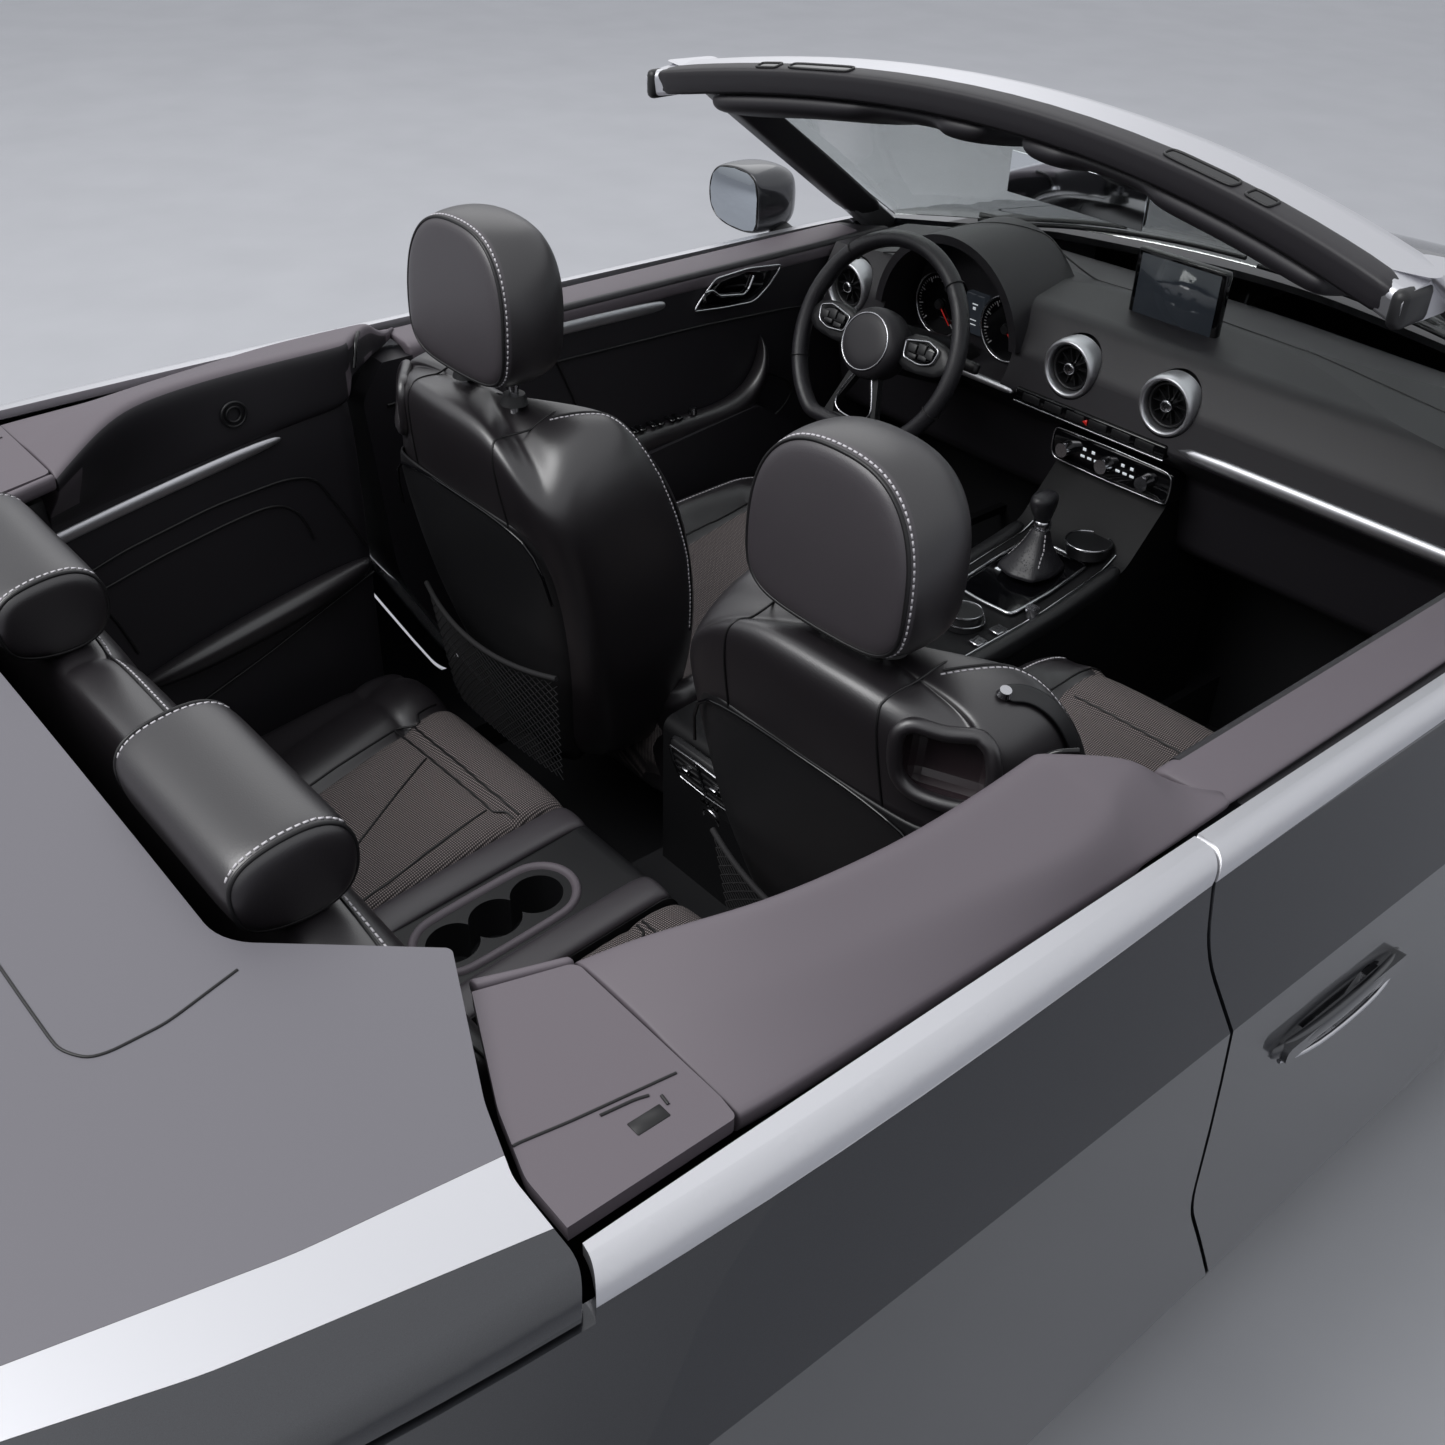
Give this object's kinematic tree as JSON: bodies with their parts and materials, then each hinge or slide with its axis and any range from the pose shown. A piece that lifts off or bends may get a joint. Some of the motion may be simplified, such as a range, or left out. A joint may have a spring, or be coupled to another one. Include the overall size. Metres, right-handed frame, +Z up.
{
  "type": "convertible car",
  "caption": "Compact two-door convertible car with the roof stowed: opening doors, lids, steered front wheels and a furnished open cabin.",
  "frame": {"origin": "on the ground, at the middle of the overall length and width", "axes": "+X to the car's left, +Y to the rear, +Z up"},
  "size_m": [1.96, 4.4233, 1.3905],
  "materials": {
    "black_plastic": "moulded, satin",
    "body_paint": "metallic clear coat",
    "body_steel": "primed and painted",
    "cast_block": "as cast",
    "clear_glass": "clear",
    "exhaust_steel": "plain",
    "gloss_black": "gloss",
    "grip_leather": "smooth",
    "header_aluminium": "satin anodised",
    "lamp_glass": "clear polycarbonate",
    "lid_panel": "soft-touch matt",
    "mirror_glass": "polished",
    "red_lens": "gloss",
    "seat_fabric": "small diamond weave",
    "seat_leather": "grained, satin",
    "soft_trim": "grained soft skin",
    "trim_aluminium": "satin anodised",
    "tyre_rubber": "matt",
    "vent_chrome": "satin chrome",
    "wheel_alloy": "painted and clear coated"
  },
  "bodies": {
    "chassis": {"air_vents": "vent_chrome", "body_shell": "body_steel", "centre_console": "black_plastic", "cowl_panel": "black_plastic", "dashboard": "soft_trim", "engine_block": "cast_block", "exhaust": "exhaust_steel", "front_bumper": "body_paint", "front_headrests": "seat_leather", "front_subframe": "body_steel", "front_wings": "body_paint", "gear_lever": "grip_leather", "grille": "black_plastic", "header_trim": "soft_trim", "headlamps": "lamp_glass", "instruments": "gloss_black", "interior_mirror": "mirror_glass", "pedals": "black_plastic", "quarter_strips": "trim_aluminium", "rear_axle": "body_steel", "rear_backrest": "seat_leather", "rear_bumper": "body_paint", "rear_console": "black_plastic", "rear_cushions": "seat_fabric", "rear_headrests": "seat_leather", "rear_side_trims": "soft_trim", "screen": "gloss_black", "seat_left": "seat_leather", "seat_right": "seat_leather", "seat_runners": "body_steel", "side_flaps": "soft_trim", "side_panels": "body_paint", "steering_column": "black_plastic", "tail_lamps": "red_lens", "windscreen": "clear_glass", "windscreen_frame": "header_aluminium"},
    "bonnet": {"bonnet": "body_paint"},
    "boot_lid": {"boot_lid": "body_paint"},
    "top_lid": {"top_lid": "lid_panel", "top_lid_strip": "trim_aluminium", "top_lid_edge": "body_paint"},
    "door_left": {"door_panel_left": "body_paint", "door_strip_left": "trim_aluminium", "door_trim_left": "soft_trim", "door_mirror_left": "body_paint"},
    "door_right": {"door_panel_right": "body_paint", "door_strip_right": "trim_aluminium", "door_trim_right": "soft_trim", "door_mirror_right": "body_paint"},
    "knuckle_left": {"knuckle_left": "body_steel"},
    "knuckle_right": {"knuckle_right": "body_steel"},
    "steering_wheel": {"steering_wheel": "grip_leather"},
    "wheel_front_left": {"tyre_front_left": "tyre_rubber", "rim_front_left": "wheel_alloy"},
    "wheel_front_right": {"tyre_front_right": "tyre_rubber", "rim_front_right": "wheel_alloy"},
    "wheel_rear_left": {"tyre_rear_left": "tyre_rubber", "rim_rear_left": "wheel_alloy"},
    "wheel_rear_right": {"tyre_rear_right": "tyre_rubber", "rim_rear_right": "wheel_alloy"}
  },
  "joints": [
    {"name": "door_left_hinge", "type": "hinge", "parent": "chassis", "child": "door_left", "pos_m": [0.8635, -0.784, 0.5], "axis": [0, 0, -1], "range_deg": [0, 65]},
    {"name": "door_right_hinge", "type": "hinge", "parent": "chassis", "child": "door_right", "pos_m": [-0.8635, -0.784, 0.5], "axis": [0, 0, 1], "range_deg": [0, 65]},
    {"name": "bonnet_hinge", "type": "hinge", "parent": "chassis", "child": "bonnet", "pos_m": [0, -0.975, 0.985], "axis": [-1, 0, 0], "range_deg": [0, 50]},
    {"name": "boot_lid_hinge", "type": "hinge", "parent": "chassis", "child": "boot_lid", "pos_m": [0, 1.575, 0.995], "axis": [1, 0, 0], "range_deg": [0, 70]},
    {"name": "top_lid_hinge", "type": "hinge", "parent": "chassis", "child": "top_lid", "pos_m": [0, 1.57, 0.995], "axis": [-1, 0, 0], "range_deg": [0, 50]},
    {"name": "steering_turn", "type": "hinge", "parent": "chassis", "child": "steering_wheel", "pos_m": [0.367, -0.303, 0.905], "axis": [0, -0.9272, -0.3746], "range_deg": [-510, 510]},
    {"name": "steer_left", "type": "hinge", "parent": "chassis", "child": "knuckle_left", "pos_m": [0.7325, -1.3385, 0.318], "axis": [0, 0, 1], "range_deg": [-34, 34]},
    {"name": "steer_right", "type": "hinge", "parent": "chassis", "child": "knuckle_right", "pos_m": [-0.7325, -1.3385, 0.318], "axis": [0, 0, 1], "range_deg": [-34, 34]},
    {"name": "wheel_front_left_spin", "type": "hinge", "parent": "knuckle_left", "child": "wheel_front_left", "pos_m": [0.7775, -1.3385, 0.318], "axis": [1, 0, 0], "continuous": true},
    {"name": "wheel_front_right_spin", "type": "hinge", "parent": "knuckle_right", "child": "wheel_front_right", "pos_m": [-0.7775, -1.3385, 0.318], "axis": [1, 0, 0], "continuous": true},
    {"name": "wheel_rear_left_spin", "type": "hinge", "parent": "chassis", "child": "wheel_rear_left", "pos_m": [0.763, 1.2565, 0.318], "axis": [1, 0, 0], "continuous": true},
    {"name": "wheel_rear_right_spin", "type": "hinge", "parent": "chassis", "child": "wheel_rear_right", "pos_m": [-0.763, 1.2565, 0.318], "axis": [1, 0, 0], "continuous": true}
  ],
  "couplings": [
    {"joint": "steer_right", "follows": "steer_left", "ratio": 1},
    {"joint": "steering_turn", "follows": "steer_left", "ratio": -15}
  ]
}
